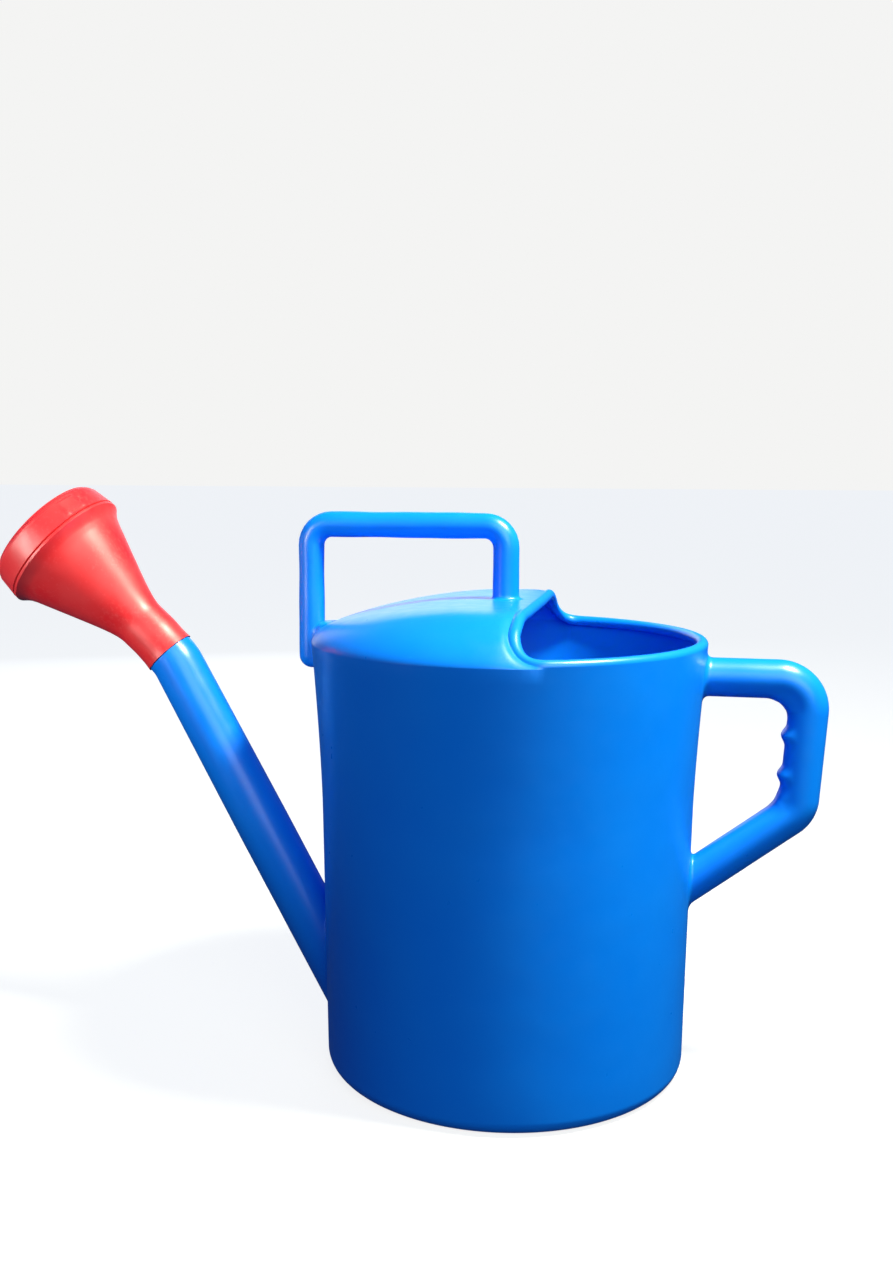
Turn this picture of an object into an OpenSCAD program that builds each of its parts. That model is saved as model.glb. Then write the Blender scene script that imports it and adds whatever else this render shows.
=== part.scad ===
// Ten litre garden watering can. A blow-moulded tank carries a hood over its
// front half, a carrying handle, a pouring handle and a long spout, and a
// two-piece sprinkling rose is pushed on the end of the spout.
// The tank's axis is Z, the spout points to -X and the pouring handle to +X.
// The origin is at the centre of the ring that the can stands on.

/* [Tank] */
// Outside radius of the wall at the foot
base_r = 111.5; // [95:0.5:130]
// Outside radius of the wall where its flare begins
waist_r = 114.4; // [98:0.1:134]
// Outside radius of the fill rim
rim_r = 121; // [104:0.5:142]
// Height of the fill rim
rim_z = 269.6; // [225:0.1:325]
// Height of the flare below the rim
flare_h = 110; // [80:1:130]
// Thickness of the moulded wall
wall_t = 2.5; // [1.5:0.1:4]
// Radius of the corner between wall and floor
corner_r = 9; // [6:0.5:14]
// Width of the ring that the can stands on
stand_w = 14; // [8:1:24]
// Height of the hollow inside the standing ring
hollow_h = 4; // [2:0.5:8]

/* [Rim and hood] */
// Thickness of the rounded bead round the fill opening
bead_d = 7; // [5:0.1:9]
// Distance from the rim down to the line where the wall ends
shoulder_h = 11.6; // [9:0.1:18]
// Height of the hood's crown above the rim
hood_h = 22.2; // [14:0.1:34]
// Distance of the hood's open edge behind the tank's axis
hood_edge = 20; // [5:0.5:40]
// Radius of the hood's flat crown
crown_r = 70; // [50:1:85]
// Distance in front of the tank's axis where the hood starts to fall
fall_start = 15; // [5:1:30]

/* [Carrying handle] */
// Radius of the handle's tube
carry_r = 8; // [6:0.1:10]
// Height of the bar's axis above the rim
carry_h = 65.7; // [50:0.1:90]
// Distance of the front leg's axis outside the rim
front_out = 4.2; // [3:0.1:6]
// Distance of the rear leg's axis in front of the tank's axis
rear_leg_x = 1.9; // [-4:0.1:12]
// Bend radius of the handle's two corners
carry_bend = 13.2; // [10:0.1:20]
// Height of the front leg's foot below the rim
foot_drop = 17; // [15:0.5:26]

/* [Pouring handle] */
// Radius of the upper arm and the grip
grip_r = 11.7; // [9:0.1:14]
// Radius of the lower arm
arm_r = 12.1; // [9:0.1:14.5]
// Distance of the upper arm's axis below the rim
arm_drop = 22.9; // [18:0.1:34]
// Distance of the handle's upper corner outside the rim
reach = 60.3; // [50:0.1:75]
// Height of the grip between its two corners
grip_h = 79; // [66:0.5:100]
// Lean of the grip towards the tank, in degrees
grip_lean = 3.7; // [0:0.1:8]
// Fall of the lower arm towards the tank, in degrees
arm_fall = 37.4; // [30:0.1:42]
// Bend radius of the upper corner
upper_bend = 18; // [14:0.5:24]
// Bend radius of the lower corner
lower_bend = 16; // [14.5:0.5:22]
// Height that the finger ridges stand proud
ridge_h = 2.8; // [1.5:0.1:4]
// Distance from one finger ridge to the next
ridge_pitch = 24; // [20:0.5:28]
// Distance of the upper finger ridge below the upper corner
ridge_drop = 34.4; // [28:0.1:40]

/* [Spout] */
// Horizontal distance from the tank's axis to the end of the spout
spout_reach = 220.7; // [195:0.1:260]
// Height of the end of the spout
spout_end_z = 250.5; // [215:0.5:290]
// Slope of the spout above the horizontal, in degrees
spout_tilt = 61.5; // [57:0.5:65]
// Slope of the last piece of the spout, which the rose turns on, in degrees
end_tilt = 47; // [46:0.5:54]
// Outside radius of the spout at its foot
spout_foot_r = 17.4; // [16:0.1:22]
// Outside radius of the spout at its end
spout_end_r = 16; // [15:0.1:19]
// Bend radius at the end of the spout
spout_bend = 30; // [25:1:60]
// Outside radius of the tip that the rose is pushed on
tip_r = 12.6; // [11:0.1:13]
// Length of the tip
tip_l = 12; // [9:0.5:15]
// Thickness of the step where the spout narrows to the tip
step_t = 2.5; // [2:0.1:4]

/* [Rose] */
// Clearance all round between the tip and the rose's bore
fit_gap = 0.06; // [0.02:0.01:0.1]
// Slope of the rose's axis above the horizontal, in degrees
rose_tilt = 42; // [36:0.5:46]
// Outside radius of the rose's socket and neck
neck_r = 16.3; // [15.5:0.1:19]
// Space left in the socket beyond the tip
socket_room = 1; // [0.5:0.1:3]
// Length of the straight neck after its bend
neck_l = 9.6; // [6:0.1:16]
// Bend radius of the neck
neck_bend = 40; // [25:1:60]
// Length of the cone
cone_l = 66.3; // [50:0.1:85]
// Outside radius of the cone's wide end
cone_r = 39.5; // [34:0.5:48]
// Wall thickness of the rose
rose_t = 2; // [1.5:0.1:2.6]
// Length of the cap that closes the cone
cap_l = 18; // [14:0.5:24]
// Outward step from the cone to its flange
flange_step = 3.7; // [2:0.1:6]
// Length of the flange
flange_l = 4.2; // [3:0.1:7]
// Inward taper of the cap from the flange to its face
cap_taper = 2.7; // [0:0.1:4]
// Length of the cone's collar inside the cap
collar_l = 8; // [5:0.5:10]
// Clearance between the cap and the cone
cap_gap = 0.3; // [0.2:0.05:0.5]
// Diameter of the spray holes
spray_d = 2; // [1.4:0.1:2.6]
// Distance from one ring of spray holes to the next
spray_pitch = 6.4; // [5.5:0.1:7]
// Plain edge left outside the rings of spray holes
spray_edge = 4; // [3:0.5:10]

/* [Hidden] */
$fn = 96;
can_blue = [0.0, 0.42, 0.85];
rose_red = [0.88, 0.18, 0.19];
// Overshoot of the cutting tools
eps = 1;

flare_z = rim_z - flare_h;
shoulder_z = rim_z - shoulder_h;
crown_z = rim_z + hood_h;
// Height at which the hood's rounded side springs from the wall
spring_z = rim_z - shoulder_h / 2;
flare_steps = 10;
curve_steps = 9;
// How late the flare turns outwards: 1 is a straight cone
flare_curve = 1.4;
// Roundness of the hood's sides and of its fall to the front: 1 is straight, 2 is elliptic
side_round = 1.2;
fall_round = 1.4;

front_leg_x = -(rim_r + front_out);
bar_z = rim_z + carry_h;
foot_z = rim_z - foot_drop;
handle_t = wall_t;

upper_z = rim_z - arm_drop;
upper_corner = [rim_r + reach, upper_z];
lower_corner = upper_corner - grip_h * [tan(grip_lean), 1];
grip_dir = -90 - grip_lean;
lower_dir = -180 + arm_fall;
ridge_r = 4.2;
ridge_wrap = 120;

spout_dir = 180 - spout_tilt;
end_dir = 180 - end_tilt;
rose_dir = 180 - rose_tilt;
spout_end_pt = [-spout_reach, spout_end_z];
step_start = spout_end_pt - step_t * dir(end_dir);
spout_kink = step_start - spout_bend * tan((end_dir - spout_dir) / 2) * dir(end_dir);
socket_start = spout_end_pt + cap_gap * dir(end_dir);
socket_l = tip_l + socket_room;
neck_start = socket_start + socket_l * dir(end_dir);
neck_setback = neck_bend * tan((rose_dir - end_dir) / 2);
rose_kink = neck_start + neck_setback * dir(end_dir);
cone_start = rose_kink + (neck_setback + neck_l) * dir(rose_dir);
cone_end = cone_start + cone_l * dir(rose_dir);
cap_start = cone_end + (flange_l + cap_gap) * dir(rose_dir);
cap_end = cap_start + cap_l * dir(rose_dir);
tip_t = 2;
rose_in_r = tip_r - tip_t;
spout_in_end_r = spout_end_r - wall_t;
// Straight spout: its upper end, its length down to the wall and its widening per millimetre
spout_top = spout_kink - spout_bend * tan((end_dir - spout_dir) / 2) * dir(spout_dir);
spout_run = (-spout_top[0] - base_r) / cos(spout_tilt);
spout_slope = (spout_foot_r - spout_end_r) / spout_run;
// Length of the spout's flared foot outside the wall, and how much wider it gets
foot_flare_l = 40;
foot_flare = 2.4;
foot_top = spout_top - (spout_run - foot_flare_l) * dir(spout_dir);
// Height where the wall's foot ends, just above the hole that the spout's foot covers
middle_z = spout_top[1] - spout_run * sin(spout_tilt) + (spout_foot_r + foot_flare) / cos(spout_tilt);

flange_r = cone_r + flange_step;
collar_r = flange_r - cap_taper - rose_t - cap_gap - cap_gap;
cap_in_r = collar_r + cap_gap;
spray_rings = floor((cap_in_r - spray_edge) / spray_pitch);

corner = [wall_r(corner_r) - corner_r, corner_r];
stand_in = corner[0] - stand_w;
floor_r = stand_in - hollow_h;

// Unit vector in the side plane, at angle a from +X towards +Z
function dir(a) = [cos(a), sin(a)];
// Radius of the wall's outside at height z
function wall_r(z) = base_r + (waist_r - base_r) * min(z, flare_z) / flare_z
    + (rim_r - waist_r) * pow(max(z - flare_z, 0) / flare_h, flare_curve);
// Points of the wall from the start of the flare up to the shoulder
function wall_line(inset) = [for (i = [0:flare_steps])
    let (z = flare_z + (shoulder_z - flare_z) * i / flare_steps) [wall_r(z) - inset, z]];
// Quarter of a superellipse from [1, 0] to [0, 1]
function bow(n) = [for (i = [0:curve_steps]) let (a = 90 * i / curve_steps)
    [pow(cos(a), 2 / n), pow(sin(a), 2 / n)]];
function arc(centre, r, from, to, steps) =
    [for (i = [0:steps]) centre + r * dir(from + (to - from) * i / steps)];
// Tangent length of a bend
function setback(bend, from, to) = bend * tan(abs(to - from) / 2);

// Turns a drawing in X and Y into one in X and Z
module side_plane() {
    rotate([90, 0, 0]) children();
}

// Places children so that their Z axis starts at p and points along angle a
module along(p, a) {
    translate([p[0], 0, p[1]]) rotate([0, 90 - a, 0]) children();
}

module ring(r, inner) {
    difference() {
        circle(r);
        if (inner > 0) circle(inner);
    }
}

// Straight tube from point p to point q of the side plane
module straight(p, q, r, inner) {
    length = norm(q - p);
    along(p, atan2(q[1] - p[1], q[0] - p[0])) difference() {
        cylinder(r = r, h = length);
        if (inner > 0) translate([0, 0, -eps]) cylinder(r = inner, h = length + 2 * eps);
    }
}

// Bent tube round corner point p, from travel direction a to direction b
module bent(p, a, b, bend, r, inner) {
    turn = abs(b - a);
    side = b > a ? 90 : -90;
    centre = p - setback(bend, a, b) * dir(a) + bend * dir(a + side);
    start = b > a ? a - 90 : b + 90;
    side_plane() translate(centre) rotate(start) rotate_extrude(angle = turn)
        translate([bend, 0]) ring(r, inner);
}

// Solid of the tank up to the shoulder, taken in by inset
module tank_body(inset) {
    rotate_extrude() polygon(concat(
        [[0, inset]],
        arc([wall_r(corner_r) - corner_r, corner_r], corner_r - inset, -90, 0, 6),
        wall_line(inset),
        [[0, shoulder_z]]));
}

// Solid under the hood's skin, from the shoulder up, taken in by inset
module hood_body(inset) {
    side_r = wall_r(spring_z) - inset;
    top = crown_z - inset;
    front = wall_r(spring_z) - inset;
    low = inset > 0 ? shoulder_z - eps : shoulder_z;
    intersection() {
        rotate_extrude() polygon(concat(
            [[0, low], [wall_r(shoulder_z) - inset, low], [wall_r(shoulder_z) - inset, shoulder_z]],
            [for (p = bow(side_round))
                [crown_r + (side_r - crown_r) * p[0], spring_z + (top - spring_z) * p[1]]],
            [[0, top]]));
        translate([0, rim_r, 0]) side_plane() linear_extrude(height = 2 * rim_r) polygon(concat(
            [[rim_r, low], [-front, low], [-front, spring_z]],
            [for (p = bow(fall_round))
                [-fall_start - (front - fall_start) * p[0], rim_z + (top - rim_z) * p[1]]],
            [[rim_r, top]]));
    }
}

// Half space behind the plane x = at, down to depth
module behind(at) {
    translate([at, -2 * rim_r, 0]) cube([3 * rim_r, 4 * rim_r, 2 * rim_z]);
}

module tank_solid() {
    tank_body(0);
    hood_body(0);
}

module tank_floor() {
    color(can_blue) translate([0, 0, hollow_h]) cylinder(r = floor_r, h = wall_t);
}

module stand_ring() {
    color(can_blue) rotate_extrude() polygon(concat(
        [[floor_r, hollow_h], [stand_in, 0]],
        arc(corner, corner_r, -90, 0, 6),
        arc(corner, corner_r - wall_t, 0, -90, 6),
        [[stand_in + wall_t / 2, wall_t], [floor_r + wall_t / 2, hollow_h + wall_t],
            [floor_r, hollow_h + wall_t]]));
}

// Ring of the wall through the outside points of its profile
module wall_ring(points) {
    rotate_extrude() polygon(concat(points,
        [for (i = [len(points) - 1:-1:0]) points[i] - [wall_t, 0]]));
}

module wall_foot() {
    color(can_blue) difference() {
        wall_ring([[wall_r(corner_r), corner_r], [wall_r(middle_z), middle_z]]);
        spout_bore();
    }
}

module wall_middle() {
    color(can_blue) wall_ring([[wall_r(middle_z), middle_z], [wall_r(flare_z), flare_z]]);
}

module wall_flare() {
    color(can_blue) wall_ring(wall_line(0));
}

module fill_rim() {
    bead_r = bead_d / 2;
    color(can_blue) intersection() {
        rotate_extrude() union() {
            translate([rim_r - bead_r, rim_z - bead_r]) circle(bead_r);
            polygon([[wall_r(shoulder_z) - wall_t, shoulder_z], [wall_r(shoulder_z), shoulder_z],
                [rim_r, rim_z - bead_r], [rim_r - wall_t, rim_z - bead_r]]);
        }
        behind(hood_edge);
    }
}

module hood() {
    color(can_blue) difference() {
        hood_body(0);
        hood_body(wall_t);
        behind(hood_edge - bead_d);
    }
}

module hood_lip() {
    color(can_blue) difference() {
        intersection() {
            hood_body(0);
            behind(hood_edge - bead_d);
        }
        hood_body(bead_d);
        behind(hood_edge);
    }
}

module carry_front_leg() {
    inner = carry_r - handle_t;
    top = [front_leg_x, bar_z - carry_bend];
    foot = [front_leg_x, foot_z];
    color(can_blue) difference() {
        union() {
            straight(foot, top, carry_r, 0);
            translate([front_leg_x, 0, foot_z]) sphere(carry_r);
            straight(foot, [-waist_r, foot_z], carry_r, 0);
        }
        straight(foot, top + [0, eps], inner, 0);
        tank_solid();
    }
}

module carry_bar() {
    inner = carry_r - handle_t;
    color(can_blue) {
        straight([front_leg_x + carry_bend, bar_z], [-rear_leg_x - carry_bend, bar_z], carry_r, inner);
        bent([front_leg_x, bar_z], 90, 0, carry_bend, carry_r, inner);
        bent([-rear_leg_x, bar_z], 0, -90, carry_bend, carry_r, inner);
    }
}

module carry_rear_leg() {
    color(can_blue) difference() {
        straight([-rear_leg_x, rim_z], [-rear_leg_x, bar_z - carry_bend], carry_r, carry_r - handle_t);
        hood_body(0);
    }
}

module pour_upper_arm() {
    end = upper_corner - [setback(upper_bend, 0, grip_dir), 0];
    color(can_blue) difference() {
        straight([waist_r - 4 * wall_t, upper_z], end, grip_r, grip_r - handle_t);
        tank_solid();
    }
}

module pour_upper_corner() {
    color(can_blue) bent(upper_corner, 0, grip_dir, upper_bend, grip_r, grip_r - handle_t);
}

module grip_run(r, inner) {
    straight(upper_corner + setback(upper_bend, 0, grip_dir) * dir(grip_dir),
        lower_corner - setback(lower_bend, grip_dir, lower_dir) * dir(grip_dir), r, inner);
}

module pour_grip() {
    color(can_blue) grip_run(grip_r, grip_r - handle_t);
}

module finger_ridges() {
    color(can_blue) difference() {
        for (i = [0:1]) {
            along(upper_corner + (ridge_drop + i * ridge_pitch) * dir(grip_dir), grip_dir)
                rotate(-ridge_wrap / 2) rotate_extrude(angle = ridge_wrap)
                    translate([grip_r + ridge_h - ridge_r, 0]) circle(ridge_r);
        }
        grip_run(grip_r, 0);
    }
}

module pour_lower_corner() {
    color(can_blue) bent(lower_corner, grip_dir, lower_dir, lower_bend, grip_r, grip_r - handle_t);
}

module pour_lower_arm() {
    start = lower_corner + setback(lower_bend, grip_dir, lower_dir) * dir(lower_dir);
    length = (start[0] - base_r + 4 * wall_t) / cos(arm_fall);
    color(can_blue) difference() {
        along(start, lower_dir) difference() {
            cylinder(r1 = grip_r, r2 = arm_r, h = length);
            translate([0, 0, -eps]) cylinder(r = grip_r - handle_t, h = length + 2 * eps);
        }
        tank_solid();
    }
}

// Outside of the straight spout, taken in by inset, from its bend down to a
// square cut where its axis meets the wall, and extra further into the tank
module spout_cone(inset, extra) {
    length = spout_run + extra;
    foot_r = spout_end_r + spout_slope * length;
    along(spout_top - length * dir(spout_dir), spout_dir)
        cylinder(r1 = foot_r - inset, r2 = spout_end_r - inset, h = length);
}

module spout_bore() {
    spout_cone(wall_t, 3 * spout_foot_r);
}

module spout_foot() {
    start_r = spout_foot_r - spout_slope * foot_flare_l;
    length = foot_flare_l + 2 * spout_foot_r;
    color(can_blue) difference() {
        along(foot_top, spout_dir + 180)
            cylinder(r1 = start_r, r2 = spout_foot_r + foot_flare, h = length);
        spout_bore();
        tank_body(0);
    }
}

module spout_tube() {
    length = spout_run - foot_flare_l;
    foot_r = spout_foot_r - spout_slope * foot_flare_l;
    color(can_blue) along(foot_top, spout_dir) difference() {
        cylinder(r1 = foot_r, r2 = spout_end_r, h = length);
        translate([0, 0, -eps]) cylinder(r1 = foot_r - wall_t + eps * spout_slope,
            r2 = spout_end_r - wall_t - eps * spout_slope, h = length + 2 * eps);
    }
}

module spout_end() {
    color(can_blue) bent(spout_kink, spout_dir, end_dir, spout_bend, spout_end_r, spout_in_end_r);
}

module spout_tip() {
    color(can_blue) along(step_start, end_dir) difference() {
        union() {
            cylinder(r = spout_end_r, h = step_t);
            cylinder(r = tip_r, h = step_t + tip_l);
        }
        translate([0, 0, -eps]) cylinder(r = rose_in_r, h = step_t + tip_l + 2 * eps);
    }
}

module rose_socket() {
    color(rose_red) straight(socket_start, neck_start, neck_r, tip_r + fit_gap);
}

module rose_neck() {
    color(rose_red) bent(rose_kink, end_dir, rose_dir, neck_bend, neck_r, rose_in_r);
}

module rose_cone() {
    color(rose_red) along(cone_start, rose_dir) difference() {
        union() {
            translate([0, 0, -neck_l]) cylinder(r = neck_r, h = neck_l);
            cylinder(r1 = neck_r, r2 = cone_r, h = cone_l);
            translate([0, 0, cone_l]) cylinder(r1 = cone_r, r2 = flange_r, h = flange_l / 2);
            translate([0, 0, cone_l + flange_l / 2]) cylinder(r = flange_r, h = flange_l / 2);
            translate([0, 0, cone_l]) cylinder(r = collar_r, h = flange_l + collar_l);
        }
        translate([0, 0, -neck_l - eps]) cylinder(r = rose_in_r, h = neck_l + 2 * eps);
        cylinder(r1 = rose_in_r, r2 = collar_r - rose_t, h = cone_l);
        translate([0, 0, cone_l - eps]) cylinder(r = collar_r - rose_t, h = flange_l + collar_l + 2 * eps);
    }
}

module rose_cap() {
    color(rose_red) along(cap_start, rose_dir) difference() {
        cylinder(r1 = flange_r, r2 = flange_r - cap_taper, h = cap_l);
        translate([0, 0, -eps]) cylinder(r = cap_in_r, h = cap_l + 2 * eps);
    }
}

module rose_face() {
    color(rose_red) along(cap_end, rose_dir + 180) difference() {
        cylinder(r = cap_in_r, h = rose_t);
        for (k = [0:spray_rings]) {
            count = max(6 * k, 1);
            for (i = [0:count - 1]) {
                rotate(i * 360 / count) translate([k * spray_pitch, 0, -eps])
                    cylinder(r = spray_d / 2, h = rose_t + 2 * eps, $fn = 16);
            }
        }
    }
}

tank_floor();
stand_ring();
wall_foot();
wall_middle();
wall_flare();
fill_rim();
hood();
hood_lip();
carry_front_leg();
carry_bar();
carry_rear_leg();
pour_upper_arm();
pour_upper_corner();
pour_grip();
finger_ridges();
pour_lower_corner();
pour_lower_arm();
spout_foot();
spout_tube();
spout_end();
spout_tip();
rose_socket();
rose_neck();
rose_cone();
rose_cap();
rose_face();
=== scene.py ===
# Ten litre garden watering can: a blue blow-moulded can and a red moulded rose.
# Sizes in the dictionaries are in millimetres; the finished meshes are in metres.
# The can stands on the origin, the spout points to -X and the pouring handle to +X.
import math

import bmesh
import bpy
import numpy as np
from mathutils import Matrix, Vector


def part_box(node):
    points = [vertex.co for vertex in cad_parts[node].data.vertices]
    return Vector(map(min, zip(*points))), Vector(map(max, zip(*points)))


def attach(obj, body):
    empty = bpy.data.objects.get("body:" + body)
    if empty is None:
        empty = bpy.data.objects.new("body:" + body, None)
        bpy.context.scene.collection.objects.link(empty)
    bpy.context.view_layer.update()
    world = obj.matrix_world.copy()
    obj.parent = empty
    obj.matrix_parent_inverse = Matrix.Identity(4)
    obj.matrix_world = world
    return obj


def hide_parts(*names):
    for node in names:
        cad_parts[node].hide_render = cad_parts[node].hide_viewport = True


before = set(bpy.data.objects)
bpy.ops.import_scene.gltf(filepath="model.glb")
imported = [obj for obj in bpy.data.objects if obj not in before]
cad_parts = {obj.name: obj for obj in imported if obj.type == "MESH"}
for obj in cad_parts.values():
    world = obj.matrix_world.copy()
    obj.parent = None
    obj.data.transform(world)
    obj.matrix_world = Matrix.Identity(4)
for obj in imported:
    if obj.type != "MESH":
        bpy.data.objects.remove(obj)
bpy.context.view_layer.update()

mm = 0.001
mergeMm = 0.004  # points nearer than this are one point
rootSinkMm = 0.9  # how deep the end of a tube is sunk in the surface it grows from


def highCorner(name):
    # highest corner of a node's box, in millimetres
    return np.array(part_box(name)[1]) / mm


def smoothStep(t):
    t = np.clip(t, 0, 1)
    return t * t * (3 - 2 * t)


def mix(a, b, share):
    return a + (b - a) * share


def direction(degrees):
    # unit vector in the side plane, from +X towards +Z
    return np.array([math.cos(math.radians(degrees)), math.sin(math.radians(degrees))])


def gridFaces(rows, columns, closeRows=False):
    # quads over a grid whose columns run round and meet
    i = np.arange(rows if closeRows else rows - 1)[:, None]
    j = np.arange(columns)[None, :]
    below, beside = (i + 1) % rows, (j + 1) % columns
    quads = [i * columns + j, below * columns + j, below * columns + beside, i * columns + beside]
    return np.stack([np.broadcast_to(q, (i.size, j.size)) for q in quads], -1).reshape(-1, 4)


def makePiece(name, points, faces, sharpAngle=50):
    # points in millimetres; doubles at poles are merged and all faces turned outwards
    mesh = bpy.data.meshes.new(name)
    points = np.asarray(points).reshape(-1, 3) * mm
    mesh.from_pydata(points.tolist(), [], np.asarray(faces).tolist())
    tidyMesh(mesh, sharpAngle)
    piece = bpy.data.objects.new(name, mesh)
    bpy.context.scene.collection.objects.link(piece)
    return piece


def tidyMesh(mesh, sharpAngle):
    work = bmesh.new()
    work.from_mesh(mesh)
    bmesh.ops.remove_doubles(work, verts=work.verts, dist=mergeMm * mm)
    bmesh.ops.recalc_face_normals(work, faces=work.faces)
    if work.calc_volume(signed=True) < 0:
        bmesh.ops.reverse_faces(work, faces=work.faces)
    work.to_mesh(mesh)
    work.free()
    mesh.shade_smooth()
    mesh.set_sharp_from_angle(angle=math.radians(sharpAngle))


def applyModifiers(piece):
    graph = bpy.context.evaluated_depsgraph_get()
    finished = bpy.data.meshes.new_from_object(piece.evaluated_get(graph))
    piece.modifiers.clear()
    piece.data = finished
    return piece


def finishPiece(piece, body, slot, material, *replaced):
    piece.data.materials.clear()
    piece.data.materials.append(material)
    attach(piece, body)
    if replaced:
        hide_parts(*replaced)


def route(corners, bends, step):
    # line through corners with rounded bends: places and headings, step apart
    places, headings = [], []
    start = np.array(corners[0], float)
    for k in range(1, len(corners)):
        corner = np.array(corners[k], float)
        along = (corner - start) / np.linalg.norm(corner - start)
        if k == len(corners) - 1:
            stop = corner
        else:
            onward = np.array(corners[k + 1], float) - corner
            onward /= np.linalg.norm(onward)
            turn = math.atan2(along[0] * onward[1] - along[1] * onward[0], float(along @ onward))
            setback = bends[k - 1] * math.tan(abs(turn) / 2)
            stop = corner - setback * along
        length = np.linalg.norm(stop - start)
        for t in np.linspace(0, 1, max(2, round(length / step)) + 1):
            places.append(start + t * (stop - start))
            headings.append(along)
        if k < len(corners) - 1:
            left = np.array([-along[1], along[0]]) * math.copysign(1, turn)
            centre = stop + bends[k - 1] * left
            count = max(8, round(abs(turn) * bends[k - 1] / step))
            for t in np.linspace(0, turn, count + 1)[1:-1]:
                spin = np.array([[math.cos(t), -math.sin(t)], [math.sin(t), math.cos(t)]])
                places.append(centre + spin @ (stop - centre))
                headings.append(spin @ along)
            start = corner + setback * onward
    return np.array(places), np.array(headings)


def travelled(places):
    return np.concatenate([[0], np.cumsum(np.linalg.norm(np.diff(places, axis=0), axis=1))])


def sweepRings(places, headings, radii, turns):
    # rings round a line in the side plane; radii has a row for each place
    angle = np.linspace(0, 2 * math.pi, turns, endpoint=False)
    radii = np.asarray(radii, float).reshape(len(places), -1)
    radii = np.broadcast_to(radii, (len(places), turns))
    centre = np.stack([places[:, 0], np.zeros(len(places)), places[:, 1]], -1)[:, None]
    lift = np.stack([-headings[:, 1], np.zeros(len(places)), headings[:, 0]], -1)[:, None]
    angle = angle[None, :, None]
    outward = np.cos(angle) * lift + np.sin(angle) * np.array([0, 1.0, 0])
    return centre + radii[..., None] * outward, outward


def surfaceNormal(level, points):
    shift = 0.05
    slope = [level(points + shift * axis) - level(points - shift * axis) for axis in np.eye(3)]
    slope = np.stack(slope, -1)
    return slope / np.linalg.norm(slope, axis=-1, keepdims=True)


def rootRows(ring, outward, heading, level, reach, blendIn, blendOut, steps=10):
    # rows that carry a tube from a round ring down to a surface with a soft fillet;
    # level is above zero outside the surface, and reach is the furthest it can be
    heading = np.array([heading[0], 0, heading[1]])
    near, far = np.zeros(len(ring)), np.full(len(ring), float(reach))
    for _ in range(40):
        middle = (near + far) / 2
        outside = level(ring + middle[:, None] * heading) > 0
        near, far = np.where(outside, middle, near), np.where(outside, far, middle)
    meet = ring + near[:, None] * heading
    normal = surfaceNormal(level, meet)
    flat = outward - (outward * normal).sum(-1, keepdims=True) * normal
    flat /= np.linalg.norm(flat, axis=-1, keepdims=True)
    foot = meet + blendOut * flat
    for _ in range(4):
        foot = foot - level(foot)[:, None] * surfaceNormal(level, foot)
    start = meet - blendIn * heading
    rows = []
    for t in np.linspace(0, 1, steps + 1):
        rows.append((1 - t) ** 2 * start + 2 * t * (1 - t) * meet + t * t * foot)
    rows.append(foot - rootSinkMm * surfaceNormal(level, foot))
    return rows


def closedTube(name, rows, sharpAngle=50):
    # rings closed at both ends with a centre point
    rows = [np.asarray(row) for row in rows]
    first = np.broadcast_to(rows[0].mean(0), rows[0].shape)
    last = np.broadcast_to(rows[-1].mean(0), rows[-1].shape)
    points = np.stack([first, *rows, last])
    return makePiece(name, points, gridFaces(len(points), points.shape[1]), sharpAngle)


def addNode(tree, kind, inputs=None, **settings):
    # adds a node, sets its properties and fills or links its inputs
    node = tree.nodes.new(kind)
    for key, value in settings.items():
        setattr(node, key, value)
    for key, value in (inputs or {}).items():
        if isinstance(value, bpy.types.NodeSocket):
            tree.links.new(value, node.inputs[key])
        else:
            node.inputs[key].default_value = value
    return node


def srgb(text):
    # hex colour as shown on a screen to linear
    parts = [int(text[i:i + 2], 16) / 255 for i in (1, 3, 5)]
    return [p / 12.92 if p <= 0.04045 else ((p + 0.055) / 1.055) ** 2.4 for p in parts] + [1.0]


# the camera: its place is in metres, its angles are in degrees
view = dict(place=(0.10806, -0.78457, 0.36536), azimuth=10.6, down=7.213, roll=0.29,
            lens=36.44, sensor=36)


def makeCamera():
    data = bpy.data.cameras.new("camera")
    data.lens = view["lens"]
    data.sensor_width = view["sensor"]
    camera = bpy.data.objects.new("camera", data)
    bpy.context.scene.collection.objects.link(camera)
    turn = Matrix.Rotation(math.radians(view["azimuth"]), 4, "Z")
    tilt = Matrix.Rotation(math.radians(90 - view["down"]), 4, "X")
    roll = Matrix.Rotation(math.radians(view["roll"]), 4, "Z")
    camera.matrix_world = Matrix.Translation(view["place"]) @ turn @ tilt @ roll
    bpy.context.scene.camera = camera


makeCamera()
print("camera set")


# finishes of the two plastics: sizes of the patterns and depths of the bumps are in millimetres
canFinish = dict(colour="#007EF5", pale="#1C94F7", roughness=0.31, glossBelow=0.05,
                 glossAbove=0.06, glossMm=9, ior=1.5, specular=0.5, speckMm=2.6, speckPale=0.5,
                 cloudPale=0.14, waveMm=38, waveDeep=1.2, waveBump=0.35, grainMm=1.8,
                 grainDeep=0.04, grainBump=0.35, seamMm=0.45, seamDeep=0.15, seamBump=0.6)
roseFinish = dict(colour="#DC1A1E", pale="#E8605C", roughness=0.42, glossBelow=0.06,
                  glossAbove=0.08, glossMm=6, ior=1.5, specular=0.85, dustMm=2.2, dustPale=0.6,
                  cloudPale=0.3, waveMm=22, waveDeep=0.6, waveBump=0.3, grainMm=0.5,
                  grainDeep=0.04, grainBump=0.4)


def perMm(size):
    # scale of a pattern whose features are this many millimetres wide
    return 1 / (size * mm)


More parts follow.
